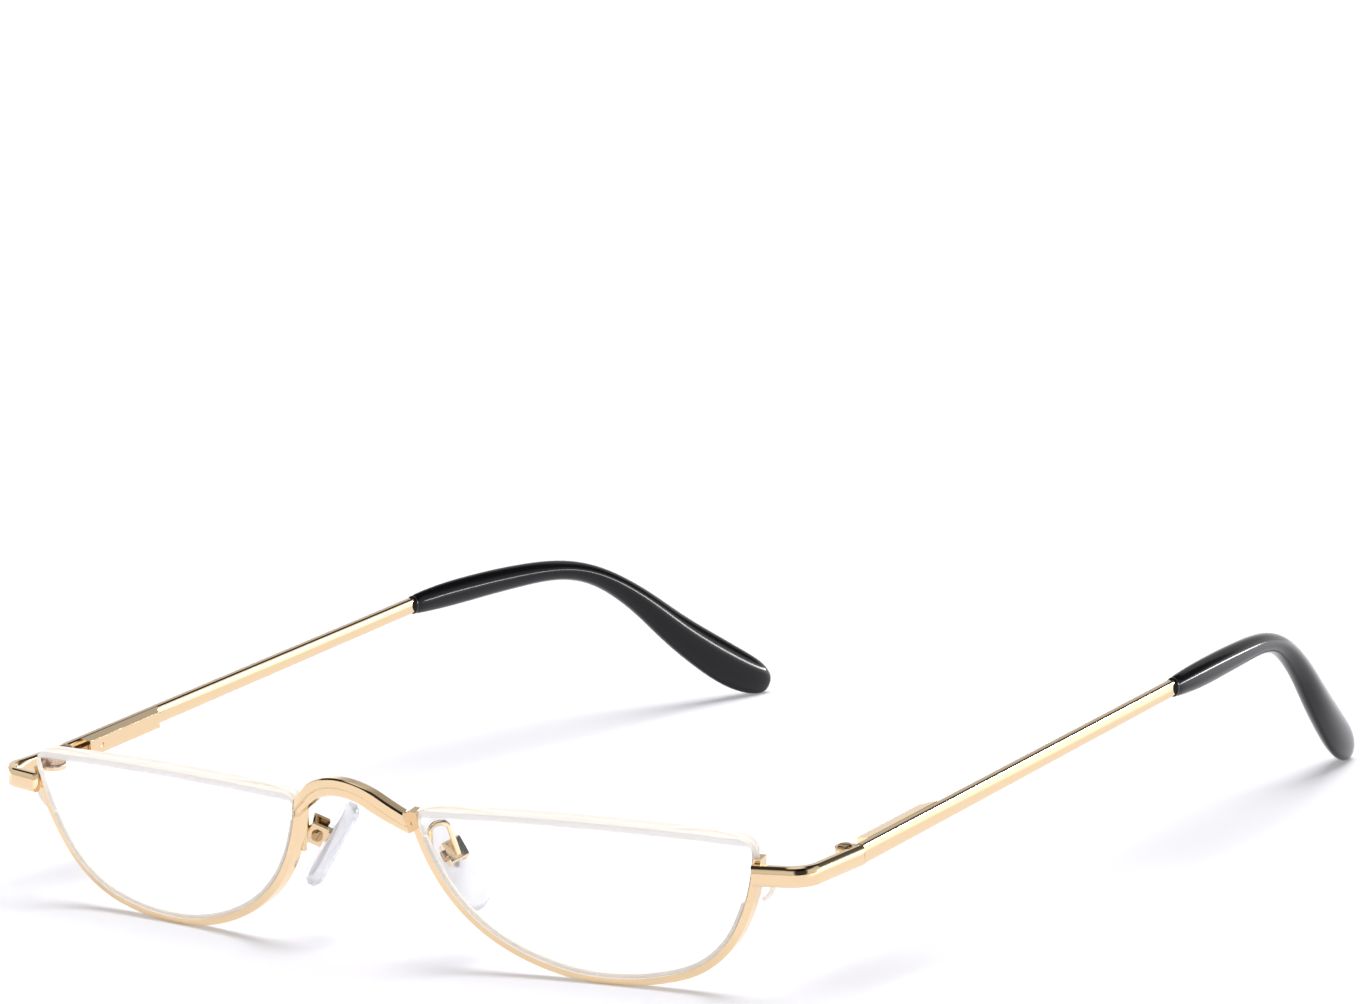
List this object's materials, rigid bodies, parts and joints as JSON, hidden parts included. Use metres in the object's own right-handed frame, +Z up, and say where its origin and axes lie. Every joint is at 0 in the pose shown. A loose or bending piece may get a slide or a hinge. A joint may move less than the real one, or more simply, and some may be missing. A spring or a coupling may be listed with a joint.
{
  "type": "half eye reading glasses",
  "caption": "Gold half eye reading glasses: shallow lenses in inverted half rims under nylon cords, low arched bridge, nose pads and temples on sprung hinges.",
  "frame": {"origin": "on the floor plane, below the middle of the open glasses' bounding box", "axes": "+X to the right in a view of the front, which faces -Y; the temples run to +Y; +Z is up"},
  "size_m": [0.1286, 0.1697, 0.0263],
  "materials": {
    "gold_plate": "polished gold plate",
    "gold_wire": "polished gold plated wire",
    "steel": "turned",
    "lens": "clear",
    "nylon": "translucent",
    "silicone": "clear soft",
    "tip": "glossy moulded"
  },
  "bodies": {
    "front": {"bridge": "gold_plate", "rim_right": "gold_plate", "rim_liner_right": "nylon", "lens_right": "lens", "lens_cord_right": "nylon", "end_piece_right": "gold_plate", "hinge_screw_right": "steel", "pad_arm_right": "gold_wire", "pad_box_right": "gold_wire", "pad_screw_right": "steel", "rim_left": "gold_plate", "rim_liner_left": "nylon", "lens_left": "lens", "lens_cord_left": "nylon", "end_piece_left": "gold_plate", "hinge_screw_left": "steel", "pad_arm_left": "gold_wire", "pad_box_left": "gold_wire", "pad_screw_left": "steel"},
    "eye_right": {"hinge_eye_right": "steel", "spring_stop_right": "steel"},
    "temple_right": {"temple_right": "gold_plate", "temple_tip_right": "tip", "spring_housing_right": "gold_plate", "hinge_spring_right": "steel"},
    "pad_right": {"nose_pad_right": "silicone"},
    "eye_left": {"hinge_eye_left": "steel", "spring_stop_left": "steel"},
    "temple_left": {"temple_left": "gold_plate", "temple_tip_left": "tip", "spring_housing_left": "gold_plate", "hinge_spring_left": "steel"},
    "pad_left": {"nose_pad_left": "silicone"}
  },
  "joints": [
    {"name": "temple_right_fold", "type": "hinge", "parent": "front", "child": "eye_right", "pos_m": [0.0624, -0.0626, 0.01695], "axis": [0.0011, -0.0906, 0.9959], "range_deg": [0, 85]},
    {"name": "temple_right_spring_travel", "type": "slide", "parent": "eye_right", "child": "temple_right", "axis": [-0.0122, 0.9958, 0.0906], "range_m": [0, 0.001], "stiffness_N_per_m": 300, "springref_m": -0.004, "deforming": ["hinge_spring_right"]},
    {"name": "nose_pad_right_rock", "type": "hinge", "parent": "front", "child": "pad_right", "pos_m": [0.01126, -0.07401, 0.0147], "axis": [-0.493, -0.7986, -0.3452], "range_deg": [-8, 8]},
    {"name": "temple_left_fold", "type": "hinge", "parent": "front", "child": "eye_left", "pos_m": [-0.0624, -0.0626, 0.01695], "axis": [0.0011, 0.0906, -0.9959], "range_deg": [0, 90]},
    {"name": "temple_left_spring_travel", "type": "slide", "parent": "eye_left", "child": "temple_left", "axis": [0.0122, 0.9958, 0.0906], "range_m": [0, 0.001], "stiffness_N_per_m": 300, "springref_m": -0.004, "deforming": ["hinge_spring_left"]},
    {"name": "nose_pad_left_rock", "type": "hinge", "parent": "front", "child": "pad_left", "pos_m": [-0.01126, -0.07401, 0.0147], "axis": [-0.493, 0.7986, 0.3452], "range_deg": [-8, 8]}
  ]
}
